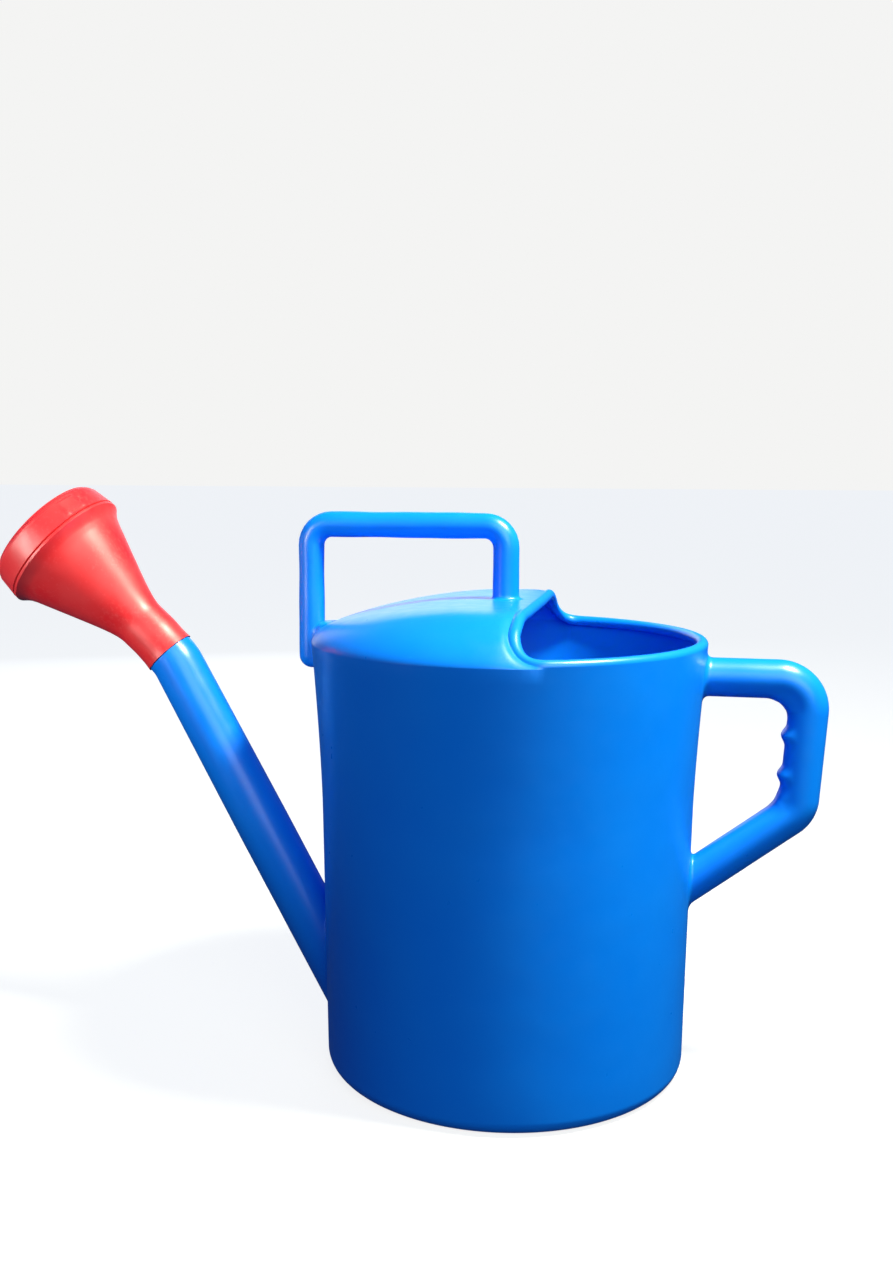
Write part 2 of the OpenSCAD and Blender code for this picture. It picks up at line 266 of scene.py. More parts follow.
def startMaterial(name, finish):
    # a material with its shader and uneven gloss, and the place that patterns are drawn from
    material = bpy.data.materials.new(name)
    material.use_nodes = True
    tree = material.node_tree
    tree.nodes.clear()
    place = addNode(tree, "ShaderNodeTexCoord").outputs["Object"]
    uneven = addNode(tree, "ShaderNodeTexNoise", {
        "Vector": place, "Scale": perMm(finish["glossMm"]), "Detail": 2.0})
    gloss = addNode(tree, "ShaderNodeMapRange", {
        "Value": uneven.outputs["Fac"], "From Min": 0.15, "From Max": 0.85,
        "To Min": finish["roughness"] - finish["glossBelow"],
        "To Max": finish["roughness"] + finish["glossAbove"]})
    shader = addNode(tree, "ShaderNodeBsdfPrincipled", {
        "IOR": finish["ior"], "Specular IOR Level": finish["specular"],
        "Roughness": gloss.outputs["Result"]})
    addNode(tree, "ShaderNodeOutputMaterial", {"Surface": shader.outputs["BSDF"]})
    return material, tree, shader, place


def makeCanPlastic():
    # blow-moulded polyethylene: waxy semi-gloss with a fine moulded grain and slow waves;
    # the real grain is about half a millimetre and is drawn coarser, so that it shows
    material, tree, shader, place = startMaterial("blowMouldedPolyethylene", canFinish)
    waves = addNode(tree, "ShaderNodeTexNoise", {
        "Vector": place, "Scale": perMm(canFinish["waveMm"]), "Detail": 1.5})
    dots = addNode(tree, "ShaderNodeTexNoise", {
        "Vector": place, "Scale": perMm(canFinish["speckMm"]), "Detail": 2.0, "Roughness": 0.6})
    specks = addNode(tree, "ShaderNodeMapRange", {
        "Value": dots.outputs["Fac"], "From Min": 0.7, "From Max": 0.8,
        "To Min": 0.0, "To Max": canFinish["speckPale"]})
    cloud = addNode(tree, "ShaderNodeMapRange", {
        "Value": waves.outputs["Fac"], "From Min": 0.3, "From Max": 0.7,
        "To Min": 0.0, "To Max": canFinish["cloudPale"]})
    share = addNode(tree, "ShaderNodeMath", {
        0: specks.outputs["Result"], 1: cloud.outputs["Result"]}, operation="MAXIMUM")
    colour = addNode(tree, "ShaderNodeMix", {
        0: share.outputs[0], 6: srgb(canFinish["colour"]), 7: srgb(canFinish["pale"])},
        data_type="RGBA")
    tree.links.new(colour.outputs[2], shader.inputs["Base Color"])
    # the two halves of the mould leave a fine line all round the side plane
    across = addNode(tree, "ShaderNodeSeparateXYZ", {"Vector": place})
    away = addNode(tree, "ShaderNodeMath", {0: across.outputs["Y"]}, operation="ABSOLUTE")
    seam = addNode(tree, "ShaderNodeMapRange", {
        "Value": away.outputs[0], "From Min": 0.0, "From Max": canFinish["seamMm"] * mm,
        "To Min": 1.0, "To Max": 0.0})
    grain = addNode(tree, "ShaderNodeTexNoise", {
        "Vector": place, "Scale": perMm(canFinish["grainMm"]), "Detail": 1.0})
    wavy = addNode(tree, "ShaderNodeBump", {
        "Height": waves.outputs["Fac"], "Distance": canFinish["waveDeep"] * mm,
        "Strength": canFinish["waveBump"]})
    grainy = addNode(tree, "ShaderNodeBump", {
        "Height": grain.outputs["Fac"], "Distance": canFinish["grainDeep"] * mm,
        "Strength": canFinish["grainBump"], "Normal": wavy.outputs["Normal"]})
    seamed = addNode(tree, "ShaderNodeBump", {
        "Height": seam.outputs["Result"], "Distance": canFinish["seamDeep"] * mm,
        "Strength": canFinish["seamBump"], "Normal": grainy.outputs["Normal"]})
    tree.links.new(seamed.outputs["Normal"], shader.inputs["Normal"])
    return material


def makeRosePlastic():
    # injection-moulded polypropylene: even semi-gloss, dulled by a little dust
    material, tree, shader, place = startMaterial("mouldedPolypropylene", roseFinish)
    specks = addNode(tree, "ShaderNodeTexNoise", {
        "Vector": place, "Scale": perMm(roseFinish["dustMm"]), "Detail": 4.0, "Roughness": 0.65})
    dust = addNode(tree, "ShaderNodeMapRange", {
        "Value": specks.outputs["Fac"], "From Min": 0.5, "From Max": 0.8,
        "To Min": 0.0, "To Max": roseFinish["dustPale"]})
    patches = addNode(tree, "ShaderNodeTexNoise", {
        "Vector": place, "Scale": perMm(roseFinish["waveMm"]), "Detail": 2.0})
    cloud = addNode(tree, "ShaderNodeMapRange", {
        "Value": patches.outputs["Fac"], "From Min": 0.35, "From Max": 0.7,
        "To Min": 0.0, "To Max": roseFinish["cloudPale"]})
    share = addNode(tree, "ShaderNodeMath", {
        0: dust.outputs["Result"], 1: cloud.outputs["Result"]}, operation="MAXIMUM")
    colour = addNode(tree, "ShaderNodeMix", {
        0: share.outputs[0], 6: srgb(roseFinish["colour"]), 7: srgb(roseFinish["pale"])},
        data_type="RGBA")
    tree.links.new(colour.outputs[2], shader.inputs["Base Color"])
    waves = addNode(tree, "ShaderNodeTexNoise", {
        "Vector": place, "Scale": perMm(roseFinish["waveMm"]), "Detail": 1.0})
    grain = addNode(tree, "ShaderNodeTexNoise", {
        "Vector": place, "Scale": perMm(roseFinish["grainMm"]), "Detail": 2.0})
    wavy = addNode(tree, "ShaderNodeBump", {
        "Height": waves.outputs["Fac"], "Distance": roseFinish["waveDeep"] * mm,
        "Strength": roseFinish["waveBump"]})
    grainy = addNode(tree, "ShaderNodeBump", {
        "Height": grain.outputs["Fac"], "Distance": roseFinish["grainDeep"] * mm,
        "Strength": roseFinish["grainBump"], "Normal": wavy.outputs["Normal"]})
    tree.links.new(grainy.outputs["Normal"], shader.inputs["Normal"])
    return material


canPlastic = makeCanPlastic()
rosePlastic = makeRosePlastic()
print("materials made")


# the can's body: tank, rim and hood in one skin; the first seven sizes come from the
# frame, and columns says how many points run round each part of the opening's edge
can = dict(
    baseR=highCorner("stand_ring")[1], waistR=highCorner("wall_middle")[1],
    rimR=highCorner("fill_rim")[0], rimZ=highCorner("fill_rim")[2], crownZ=highCorner("hood")[2],
    flareZ=highCorner("wall_middle")[2], lipX=highCorner("hood_lip")[0],
    wall=2.5, flareCurve=1.4, shoulderZ=265, cornerR=9,
    standWidth=14, standFlat=12, standIn=8, standOut=3, hollow=4, floorRings=(0, 20, 45),
    bead=7, lipCornerR=15, lipLift=0.6, rimTuck=-90, lipTuck=-45,
    crownR=70, sideBow=1.5, fallStart=15, fallBow=1.4, blendZ=4,
    grooveWide=4.5, grooveAngle=25, crownAngle=86, grooveFade=0.3)
columns = dict(rear=72, corner=26, front=150)


def wallRadius(z):
    z = np.asarray(z, float)
    base, waist, flareZ = can["baseR"], can["waistR"], can["flareZ"]
    cone = base + (waist - base) * np.minimum(z, flareZ) / flareZ
    flare = np.clip((z - flareZ) / (can["rimZ"] - flareZ), 0, None) ** can["flareCurve"]
    return cone + (can["rimR"] - waist) * flare


def domeHeight(x, y, inset=0.0):
    # the hood's skin: rounded down to both sides and falling to the front
    low, front, blend = can["shoulderZ"], can["rimZ"], can["blendZ"]
    side, top = wallRadius(low) - inset, can["crownZ"] - inset
    out = np.clip((np.hypot(x, y) - can["crownR"]) / (side - can["crownR"]), 0, 1)
    bySide = low + (top - low) * (1 - out ** can["sideBow"]) ** (1 / can["sideBow"])
    fall = np.clip((-x - can["fallStart"]) / (side - can["fallStart"]), 0, 1)
    byFall = front + (top - front) * (1 - fall ** can["fallBow"]) ** (1 / can["fallBow"])
    share = np.clip(0.5 + 0.5 * (byFall - bySide) / blend, 0, 1)
    return mix(byFall, bySide, share) - blend * share * (1 - share)


def wallLevel(points):
    return np.hypot(points[..., 0], points[..., 1]) - wallRadius(points[..., 2])


def hoodLevel(points):
    return points[..., 2] - domeHeight(points[..., 0], points[..., 1])


def facing(turn):
    # unit vectors in plan
    return np.stack([np.cos(turn), np.sin(turn)], -1)


def openingLoop():
    # the rolled edge round the fill opening: its line in plan and its outward side, the
    # wall's angle that each column starts from, how much the column belongs to the hood
    # and how near it is to the middle of the hood's lip
    beadR, cornerR = can["bead"] / 2, can["lipCornerR"]
    ringR = float(wallRadius(can["rimZ"] - beadR)) - beadR
    lineX = can["lipX"] - beadR
    centreX = lineX + cornerR
    centreY = math.sqrt((ringR - cornerR) ** 2 - centreX ** 2)
    leave = math.atan2(centreY, centreX)
    rear = np.linspace(-leave, leave, columns["rear"], endpoint=False)
    share = np.linspace(0, 1, columns["corner"], endpoint=False)
    front = np.linspace(0, 1, columns["front"], endpoint=False)
    back = 1 - share
    rearSide = facing(rear)
    farSide = facing(mix(leave, math.pi, share))
    frontSide = np.stack([-np.ones_like(front), 0 * front], -1)
    nearSide = facing(-mix(leave, math.pi, back))
    frontLine = np.stack([np.full_like(front, lineX), centreY * (1 - 2 * front)], -1)
    place = np.concatenate([ringR * rearSide, np.array([centreX, centreY]) + cornerR * farSide,
                            frontLine, np.array([centreX, -centreY]) + cornerR * nearSide])
    side = np.concatenate([rearSide, farSide, frontSide, nearSide])
    angle = np.concatenate([rear, mix(leave, math.pi / 2, share),
                            mix(math.pi / 2, 1.5 * math.pi, front),
                            mix(1.5 * math.pi, 2 * math.pi - leave, share)])
    hooded = np.concatenate([0 * rear, smoothStep(share), 1 + 0 * front, smoothStep(back)])
    middle = smoothStep(np.minimum(front, 1 - front) / can["grooveFade"])
    middle = np.concatenate([0 * rear, 0 * share, middle, 0 * share])
    return place, side, angle, hooded, middle


def makeCanBody():
    beadR, cornerR, wall = can["bead"] / 2, can["cornerR"], can["wall"]
    flareZ, shoulderZ = can["flareZ"], can["shoulderZ"]
    place, side, angle, hooded, middle = openingLoop()
    around = facing(angle)
    shoulderR = float(wallRadius(shoulderZ))
    lipZ = domeHeight(place[:, 0], place[:, 1]) - beadR + can["lipLift"] * (1 - middle)
    beadZ = mix(can["rimZ"] - beadR, lipZ, hooded)
    rows = []

    def addRow(plan, z):
        z = np.broadcast_to(np.asarray(z, float).reshape(-1, 1), (len(plan), 1))
        rows.append(np.concatenate([plan, z], -1))

    def roundRow(radius, z):
        addRow(around * radius, z)

    def beadSpot(turn):
        # a place on the rolled edge; turn 0 is its outward side
        return place + (beadR * np.cos(turn))[:, None] * side, beadZ + beadR * np.sin(turn)

    def addSheet(start, inset, spacing):
        # skin from the rolled edge out to the shoulder, with a groove beside the edge
        startPlan, startZ = start
        stop = around * (shoulderR - inset)
        length = np.linalg.norm(stop - startPlan, axis=-1)
        drop = domeHeight(startPlan[:, 0], startPlan[:, 1], inset) - startZ
        for t in spacing:
            plan = mix(startPlan, stop, t)
            groove = drop * np.exp(-(t * length / can["grooveWide"]) ** 2) * (1 - t)
            skin = domeHeight(plan[:, 0], plan[:, 1], inset) - groove
            addRow(plan, mix(mix(startZ, shoulderZ, t), skin, hooded))

    # underside: raised floor, standing ring and round corner
    cornerX = float(wallRadius(cornerR)) - cornerR
    stand = cornerX - can["standWidth"]
    flatR = stand - can["standFlat"]
    stepIn, stepOut = stand - can["standIn"], stand + can["standOut"]
    for radius in (*can["floorRings"], flatR):
        roundRow(radius, can["hollow"])
    for t in np.linspace(0, 1, 9):
        roundRow(mix(stepIn, stepOut, t), can["hollow"] * (1 - smoothStep(t)))
    for turn in np.linspace(-90, 0, 13):
        spot = cornerR * direction(turn)
        roundRow(cornerX + spot[0], cornerR + spot[1])
    for z in [*np.linspace(cornerR, flareZ, 9)[1:], *np.linspace(flareZ, shoulderZ, 13)[1:-1]]:
        roundRow(float(wallRadius(z)), z)

    # outside of the hood from the shoulder to the rolled edge, round the edge, and back
    # along the inside; the rows crowd together at the shoulder and beside the edge
    s = np.linspace(0, 1, 73)
    spacing = np.where(s < 0.5, 0.5 * (2 * s) ** 1.8, 1 - 0.5 * (2 - 2 * s) ** 2.4)[::-1]
    startTurn = np.radians(mix(0, mix(can["grooveAngle"], can["crownAngle"], middle), hooded))
    endTurn = np.radians(mix(can["rimTuck"], can["lipTuck"], hooded)) + 2 * math.pi
    addSheet(beadSpot(startTurn), 0.0, spacing)
    for t in np.linspace(0, 1, 19)[1:]:
        addRow(*beadSpot(mix(startTurn, endTurn, t)))
    addSheet(beadSpot(endTurn), wall, spacing[::-2][1:])

    # inside of the wall and floor
    for z in [*np.linspace(shoulderZ, flareZ, 9)[1:], *np.linspace(flareZ, cornerR, 5)[1:]]:
        roundRow(float(wallRadius(z)) - wall, z)
    for turn in np.linspace(0, -90, 9)[1:]:
        spot = (cornerR - wall) * direction(turn)
        roundRow(cornerX + spot[0], cornerR + spot[1])
    for t in np.linspace(1, 0, 9):
        roundRow(mix(stepIn, stepOut, t), wall + can["hollow"] * (1 - smoothStep(t)))
    for radius in (flatR, *can["floorRings"][::-1]):
        roundRow(radius, can["hollow"] + wall)
    points = np.stack(rows)
    return makePiece("canBody", points, gridFaces(len(points), points.shape[1]), sharpAngle=60)


canBody = makeCanBody()
print("can body made", len(canBody.data.polygons))


# the spout: end is where its outside stops, after endLength of straight tube past the bend
spout = dict(end=(-220.7, 250.5), tilt=61.5, endTilt=47, bend=30, endLength=2.5, footR=17.4,
             endR=16, fromWall=196, outside=120, deep=70, wall=2.5, reach=200, blendIn=7,
             blendOut=6, step=4, boreStep=6, turns=96)


def spoutLine():
    end, slope = np.array(spout["end"]), -direction(180 - spout["tilt"])
    turn = math.radians(spout["tilt"] - spout["endTilt"])
    back = spout["endLength"] + spout["bend"] * math.tan(turn / 2)
    return end, end - back * direction(180 - spout["endTilt"]), slope


def makeSpout():
    end, kink, slope = spoutLine()
    outside = kink + spout["outside"] * slope
    places, headings = route([end, kink, outside], [spout["bend"]], spout["step"])
    widen = (spout["footR"] - spout["endR"]) / spout["fromWall"]
    radii = spout["endR"] + widen * travelled(places)
    # the end's edge is rounded within a millimetre
    rounding = np.array([1.0, 0.55, 0.2, 0.0])
    lips = np.array([0.0, 0.15, 0.5, 1.0])
    firstPlaces = end - lips[:, None] * direction(180 - spout["endTilt"])
    places = np.concatenate([firstPlaces, places[1:]])
    headings = np.concatenate([np.repeat(headings[:1], len(lips), axis=0), headings[1:]])
    radii = np.concatenate([spout["endR"] - rounding, radii[1:]])
    rings, outward = sweepRings(places, headings, radii, spout["turns"])
    foot = rootRows(rings[-1], outward[-1], slope, wallLevel, spout["reach"],
                    spout["blendIn"], spout["blendOut"])
    # the bore runs on through the wall into the tank
    inside = kink + (spout["fromWall"] + spout["deep"]) * slope
    places, headings = route([end, kink, inside], [spout["bend"]], spout["boreStep"])
    radii = spout["endR"] - spout["wall"] + widen * travelled(places)
    return [*rings, *foot], sweepRings(places, headings, radii, spout["turns"])[0]


outerRows, boreRows = makeSpout()
spoutSkin = closedTube("spout", outerRows)
bore = closedTube("spoutBore", boreRows)
for piece in (spoutSkin, canBody):
    cut = piece.modifiers.new("bore", "BOOLEAN")
    cut.operation = "DIFFERENCE"
    cut.solver = "EXACT"
    cut.object = bore
    applyModifiers(piece)
bpy.data.objects.remove(bore)
print("spout made")


# the carrying handle: waver lists the height, length and shift of its unevenness
carry = dict(frontX=-125.2, rearX=-1.9, barZ=335.3, footZ=252.6, rearDrop=34, r=8.0, bend=13.2,
             waver=((0.12, 11, 0), (0.08, 5.3, 1)), reach=60, blendIn=3.2, blendOut=3.2,
             blendSteps=8, step=2.5, turns=64)


def makeCarryHandle():
    corners = [(carry["frontX"], carry["footZ"]), (carry["frontX"], carry["barZ"]),
               (carry["rearX"], carry["barZ"]), (carry["rearX"], carry["barZ"] - carry["rearDrop"])]
    places, headings = route(corners, [carry["bend"]] * 2, carry["step"])
    run = travelled(places)
    # moulded tubes are never quite even
    radii = np.full(len(run), carry["r"])
    for high, length, shift in carry["waver"]:
        radii += high * np.sin(run / length + shift)
    rings, outward = sweepRings(places, headings, radii, carry["turns"])
    # the front leg ends in a dome below the hood
    tip = []
    for turn in np.radians(np.linspace(-88, -8, 9)):
        centre = np.array([[carry["frontX"], carry["footZ"] + radii[0] * math.sin(turn)]])
        radius = [radii[0] * math.cos(turn)]
        tip.append(sweepRings(centre, headings[:1], radius, carry["turns"])[0][0])
    foot = rootRows(rings[-1], outward[-1], headings[-1], hoodLevel, carry["reach"],
                    carry["blendIn"], carry["blendOut"], carry["blendSteps"])
    return closedTube("carryHandle", [*tip, *rings, *foot])


# solid plastic that joins the front leg to the wall and the edge of the hood
web = dict(top=274.5, low=244.8, wide=8.1, endBow=6, lean=0.35, fillet=4.5, filletShare=0.6,
           filletWide=3.0, sink=6)


def makeLegWeb():
    rows = []
    half = (web["top"] - web["low"]) / 2
    middle = (web["top"] + web["low"]) / 2
    flare = np.linspace(0, 1, 7)
    for rise in np.sin(np.radians(np.linspace(-88, 88, 33))):
        z = middle + half * rise
        wide = web["wide"] * (1 - abs(rise) ** web["endBow"]) ** (1 / 3)
        wallX = -math.sqrt(float(wallRadius(min(z, can["shoulderZ"]))) ** 2 - wide ** 2)
        if z > can["shoulderZ"]:
            wallX += web["lean"] * (z - can["shoulderZ"])
        # its sides curve out where they meet the wall
        fillet = min(web["fillet"], abs(wallX - carry["frontX"]) * web["filletShare"])
        outX = wallX - (1 - flare) ** 1.6 * fillet
        outY = wide + web["filletWide"] * flare ** 2.2 * (wide / web["wide"])
        x = np.concatenate([[carry["frontX"]], outX, [wallX + web["sink"]]])
        y = np.concatenate([[wide], outY, [wide + web["filletWide"]]])
        loop = np.concatenate([np.stack([x, y], -1), np.stack([x[::-1], -y[::-1]], -1)])
        rows.append(np.concatenate([loop, np.full((len(loop), 1), z)], -1))
    return closedTube("carryLegWeb", rows, sharpAngle=70)


carryHandle = makeCarryHandle()
carryLegWeb = makeLegWeb()
print("carrying handle made")


# the pouring handle: upper is its top rear corner, lean is the grip's and fall the lower
# arm's angle; each bend has its own larger radius inside
pour = dict(upper=(181.3, 246.7), gripH=79, lean=3.7, fall=37.4, upperBend=18, lowerBend=16,
            upperX=132, lowerX=136, upperInside=12.5, lowerInside=24, gripR=11.7, armR=12.1,
            widenFrom=150, widenOver=60, ridge=2.7, ridgeTall=7.5, ridgeDrop=34.4,
            ridgePitch=24, ridgeHalf=66, ridgeFade=44, ridgeCurve=1.3, uprightHalf=12,
            upperReach=60, lowerReach=80, blendIn=4, blendOut=4.5, step=1.2, turns=80)


def insideFill(away, bend, half, inside):
    # how far the inner side of a bend is filled, to round it to its own larger radius
    edge = bend - pour["gripR"]
    reach = (inside - edge) / math.cos(half)
    turned = np.minimum(away / bend, half)
    inBend = edge + reach * np.cos(turned) - np.sqrt(inside ** 2 - (reach * np.sin(turned)) ** 2)
    left = np.clip((inside - edge) * math.tan(half) - (away - bend * half), 0, None)
    onStraight = inside - np.sqrt(inside ** 2 - np.minimum(left, inside) ** 2)
    return np.where(away < bend * half, inBend, onStraight)


def makePourHandle():
    lean, fall, turns = pour["lean"], pour["fall"], pour["turns"]
    upper = np.array(pour["upper"])
    lower = upper - pour["gripH"] * np.array([math.tan(math.radians(lean)), 1])
    down = direction(180 + fall)
    foot = lower + (lower[0] - pour["lowerX"]) / -down[0] * down
    corners = [(pour["upperX"], upper[1]), upper, lower, foot]
    places, headings = route(corners, [pour["upperBend"], pour["lowerBend"]], pour["step"])
    run = travelled(places)
    widened = smoothStep((run - pour["widenFrom"]) / pour["widenOver"])
    radii = mix(pour["gripR"], pour["armR"], widened)
    # the inner side: two soft finger ridges, and both corners filled to a rounder bend
    fromTop = (places - upper) @ direction(-90 - lean)
    angle = np.linspace(0, 2 * math.pi, turns, endpoint=False)
    inner = np.degrees(np.abs(np.mod(angle, 2 * math.pi) - math.pi))
    wrap = smoothStep((pour["ridgeHalf"] - inner) / pour["ridgeFade"])
    upright = np.abs(places[:, 0] - mix(upper[0], lower[0], 0.5)) < pour["uprightHalf"]
    raised = np.zeros(len(run))
    for k in range(2):
        away = np.abs(fromTop - pour["ridgeDrop"] - k * pour["ridgePitch"]) / pour["ridgeTall"]
        hump = 0.5 + 0.5 * np.cos(math.pi * np.clip(away, 0, 1))
        raised += pour["ridge"] * upright * hump ** pour["ridgeCurve"]
    for corner, bend, turn, inside in (
            (upper, pour["upperBend"], 90 + lean, pour["upperInside"]),
            (lower, pour["lowerBend"], 90 - fall - lean, pour["lowerInside"])):
        middle = run[np.argmin(np.linalg.norm(places - corner, axis=1))]
        raised += insideFill(np.abs(run - middle), bend, math.radians(turn) / 2, inside)
    radii = radii[:, None] + raised[:, None] * wrap[None, :]
    rings, outward = sweepRings(places, headings, radii, turns)
    top = rootRows(rings[0], outward[0], -headings[0], wallLevel, pour["upperReach"],
                   pour["blendIn"], pour["blendOut"])
    low = rootRows(rings[-1], outward[-1], headings[-1], wallLevel, pour["lowerReach"],
                   pour["blendIn"], pour["blendOut"])
    return closedTube("pourHandle", [*top[::-1], *rings, *low])


pourHandle = makePourHandle()
print("pouring handle made")


# the rose: socket, neck and cone are lengths along it, and the cap sits on the collar;
# tab is the raised clip patch on the cap's band
rose = dict(tilt=42, gap=0.3, socket=13, neck=9.6, neckR=16.3, bend=40, bead=0.5, beadFade=3.2,
            boreR=12.66, throatR=10.6, cone=66.3, coneR=39.5, swell=7, wall=2, flareIn=5,
            flareLong=7.2, flareCurve=1.7, flange=4.2, flangeR=43.2, collar=8, collarR=37.9,
            cap=18, taper=2.2, edge=4.5, tabTurn=216, tabHalf=9, tabRise=0.9, tabStart=1.5,
            tabEnd=13.5, tabEdge=1.2, dome=2.2, holeMm=2, holeSides=16, pinLength=12,
            pitch=6.4, rings=5, step=2.5, turns=96, capTurns=240, sharpAngle=42)


def roseLine():
    start = np.array(spout["end"]) + rose["gap"] * direction(180 - spout["endTilt"])
    turn = math.radians(spout["endTilt"] - rose["tilt"])
    back = rose["bend"] * math.tan(turn / 2)
    kink = start + (rose["socket"] + back) * direction(180 - spout["endTilt"])
    coneStart = kink + (back + rose["neck"]) * direction(180 - rose["tilt"])
    return start, kink, coneStart


def rowsAlong(origin, profile, turns):
    # rings about the rose's axis through (distance, radius) pairs
    profile = np.array(profile, float)
    axis = direction(180 - rose["tilt"])
    places = origin + profile[:, :1] * axis
    headings = np.repeat(axis[None], len(places), axis=0)
    return sweepRings(places, headings, profile[:, 1], turns)[0]


def makeRoseBody():
    start, kink, coneStart = roseLine()
    places, headings = route([start, kink, coneStart], [rose["bend"]], rose["step"])
    run = travelled(places)
    neckR, collarR, wall, swell = rose["neckR"], rose["collarR"], rose["wall"], rose["swell"]
    radii = neckR + rose["bead"] * np.exp(-(run / rose["beadFade"]) ** 2)
    neck = sweepRings(places, headings, radii, rose["turns"])[0]
    # the cone swells out of the neck over a few millimetres
    top, out = rose["cone"], rose["flangeR"]
    slope = (rose["coneR"] - neckR) / top
    cone = []
    for s in np.linspace(1.0, top - 6.5, 32):
        swollen = s + swell * (math.exp(-s / swell) - 1)
        cone.append((s, neckR + slope * swollen * top / (top - swell)))
    # and flares softly into the edge that the cap sits on
    flareIn, flareLong = rose["flareIn"], rose["flareLong"]
    flareR = neckR + slope * (top - flareIn)
    for t in np.linspace(0, 1, 12):
        extra = (out - flareR - slope * flareLong) * t ** rose["flareCurve"]
        cone.append((top - flareIn + flareLong * t, flareR + slope * flareLong * t + extra))
    flange = top + rose["flange"]
    cone += [(flange - 0.6, out), (flange - 0.25, out - 0.12), (flange - 0.05, out - 0.4),
             (flange, out - 0.8), (flange, collarR), (flange + 0.4, collarR)]
    end = flange + rose["collar"]
    cone += [(end - 0.5, collarR), (end, collarR - 0.5), (end, collarR - wall),
             (top + 1, collarR - wall), (top - 3, rose["coneR"] - wall - 1.5)]
    for s in np.linspace(top - 8, 2, 12):
        cone.append((s, neckR + slope * s - wall - 1.6))
    inside = np.where(run[::-1] > rose["socket"] - 0.5, rose["throatR"], rose["boreR"])
    innerNeck = sweepRings(places[::-1], headings[::-1], inside, rose["turns"])[0]
    rows = np.concatenate([neck, rowsAlong(coneStart, cone, rose["turns"]), innerNeck])
    faces = gridFaces(len(rows), rows.shape[1], closeRows=True)
    return makePiece("roseBody", rows, faces, rose["sharpAngle"])


def capStart():
    coneStart = roseLine()[2]
    axis = direction(180 - rose["tilt"])
    return coneStart + (rose["cone"] + rose["flange"] + rose["gap"]) * axis


def makeRoseCap():
    inside, outer = rose["collarR"] + rose["gap"], rose["flangeR"]
    edge, length, turns = rose["edge"], rose["cap"], rose["capTurns"]
    tip = outer - rose["taper"]
    profile = [(0.5, inside), (0.0, inside + 0.4), (0.0, outer - 0.9), (0.15, outer - 0.35),
               (0.6, outer)]
    profile += [(t, mix(outer, tip, t / length))
                for t in np.linspace(1.5, length - edge - 0.3, 22)]
    for turn in np.linspace(0, 90, 8):
        angle = math.radians(turn)
        profile.append((length - edge + edge * math.sin(angle),
                        tip - edge + edge * math.cos(angle)))
    profile += [(length, inside + 0.3), (length - 0.3, inside)]
    rows = rowsAlong(capStart(), profile, turns)
    # a raised clip patch on the band
    turn = np.degrees(np.linspace(0, 2 * math.pi, turns, endpoint=False))
    away = np.abs((turn - rose["tabTurn"] + 180) % 360 - 180)
    wide = smoothStep((rose["tabHalf"] + 1 - away) / 2)
    outward = rows - rowsAlong(capStart(), [(s, 0) for s, r in profile], turns)
    outward /= np.maximum(np.linalg.norm(outward, axis=-1, keepdims=True), 1e-6)
    s, r = np.array(profile, float).T
    tall = smoothStep((s - rose["tabStart"]) / rose["tabEdge"])
    tall = tall * smoothStep((rose["tabEnd"] - s) / rose["tabEdge"]) * (r > tip - 0.5)
    rows = rows + rose["tabRise"] * tall[:, None, None] * wide[None, :, None] * outward
    faces = gridFaces(len(rows), rows.shape[1], closeRows=True)
    return makePiece("roseCap", rows, faces, rose["sharpAngle"])


def sprayTree():
    # cuts rings of round holes in a plate: 6 in the first ring, 12 in the next and so on
    tree = bpy.data.node_groups.new("sprayHoles", "GeometryNodeTree")
    socket = tree.interface.new_socket
    socket("Geometry", in_out="INPUT", socket_type="NodeSocketGeometry")
    holeR = socket("Hole radius", in_out="INPUT", socket_type="NodeSocketFloat")
    pitch = socket("Ring pitch", in_out="INPUT", socket_type="NodeSocketFloat")
    paint = socket("Material", in_out="INPUT", socket_type="NodeSocketMaterial")
    socket("Geometry", in_out="OUTPUT", socket_type="NodeSocketGeometry")
    given = addNode(tree, "NodeGroupInput")
    joined = addNode(tree, "GeometryNodeJoinGeometry")
    centre = addNode(tree, "GeometryNodePoints", {"Count": 1})
    tree.links.new(centre.outputs[0], joined.inputs[0])
    for k in range(1, rose["rings"] + 1):
        reach = addNode(tree, "ShaderNodeMath", {
            0: given.outputs["Ring pitch"], 1: float(k)}, operation="MULTIPLY")
        ring = addNode(tree, "GeometryNodeMeshCircle", {
            "Vertices": 6 * k, "Radius": reach.outputs[0]})
        spots = addNode(tree, "GeometryNodeMeshToPoints", {"Mesh": ring.outputs["Mesh"]})
        tree.links.new(spots.outputs[0], joined.inputs[0])
    pin = addNode(tree, "GeometryNodeMeshCylinder", {
        "Vertices": rose["holeSides"], "Radius": given.outputs["Hole radius"],
        "Depth": rose["pinLength"] * mm})
    pins = addNode(tree, "GeometryNodeInstanceOnPoints", {
        "Points": joined.outputs[0], "Instance": pin.outputs["Mesh"]})
    solid = addNode(tree, "GeometryNodeRealizeInstances", {
        "Geometry": pins.outputs["Instances"]})
    cut = addNode(tree, "GeometryNodeMeshBoolean", {
        "Mesh 1": given.outputs["Geometry"], "Mesh 2": solid.outputs["Geometry"]},
        operation="DIFFERENCE")
    real = addNode(tree, "GeometryNodeRealizeInstances", {"Geometry": cut.outputs["Mesh"]})
    painted = addNode(tree, "GeometryNodeSetMaterial", {
        "Geometry": real.outputs["Geometry"], "Material": given.outputs["Material"]})
    addNode(tree, "NodeGroupOutput", {"Geometry": painted.outputs["Geometry"]})
    return tree, holeR.identifier, pitch.identifier, paint.identifier


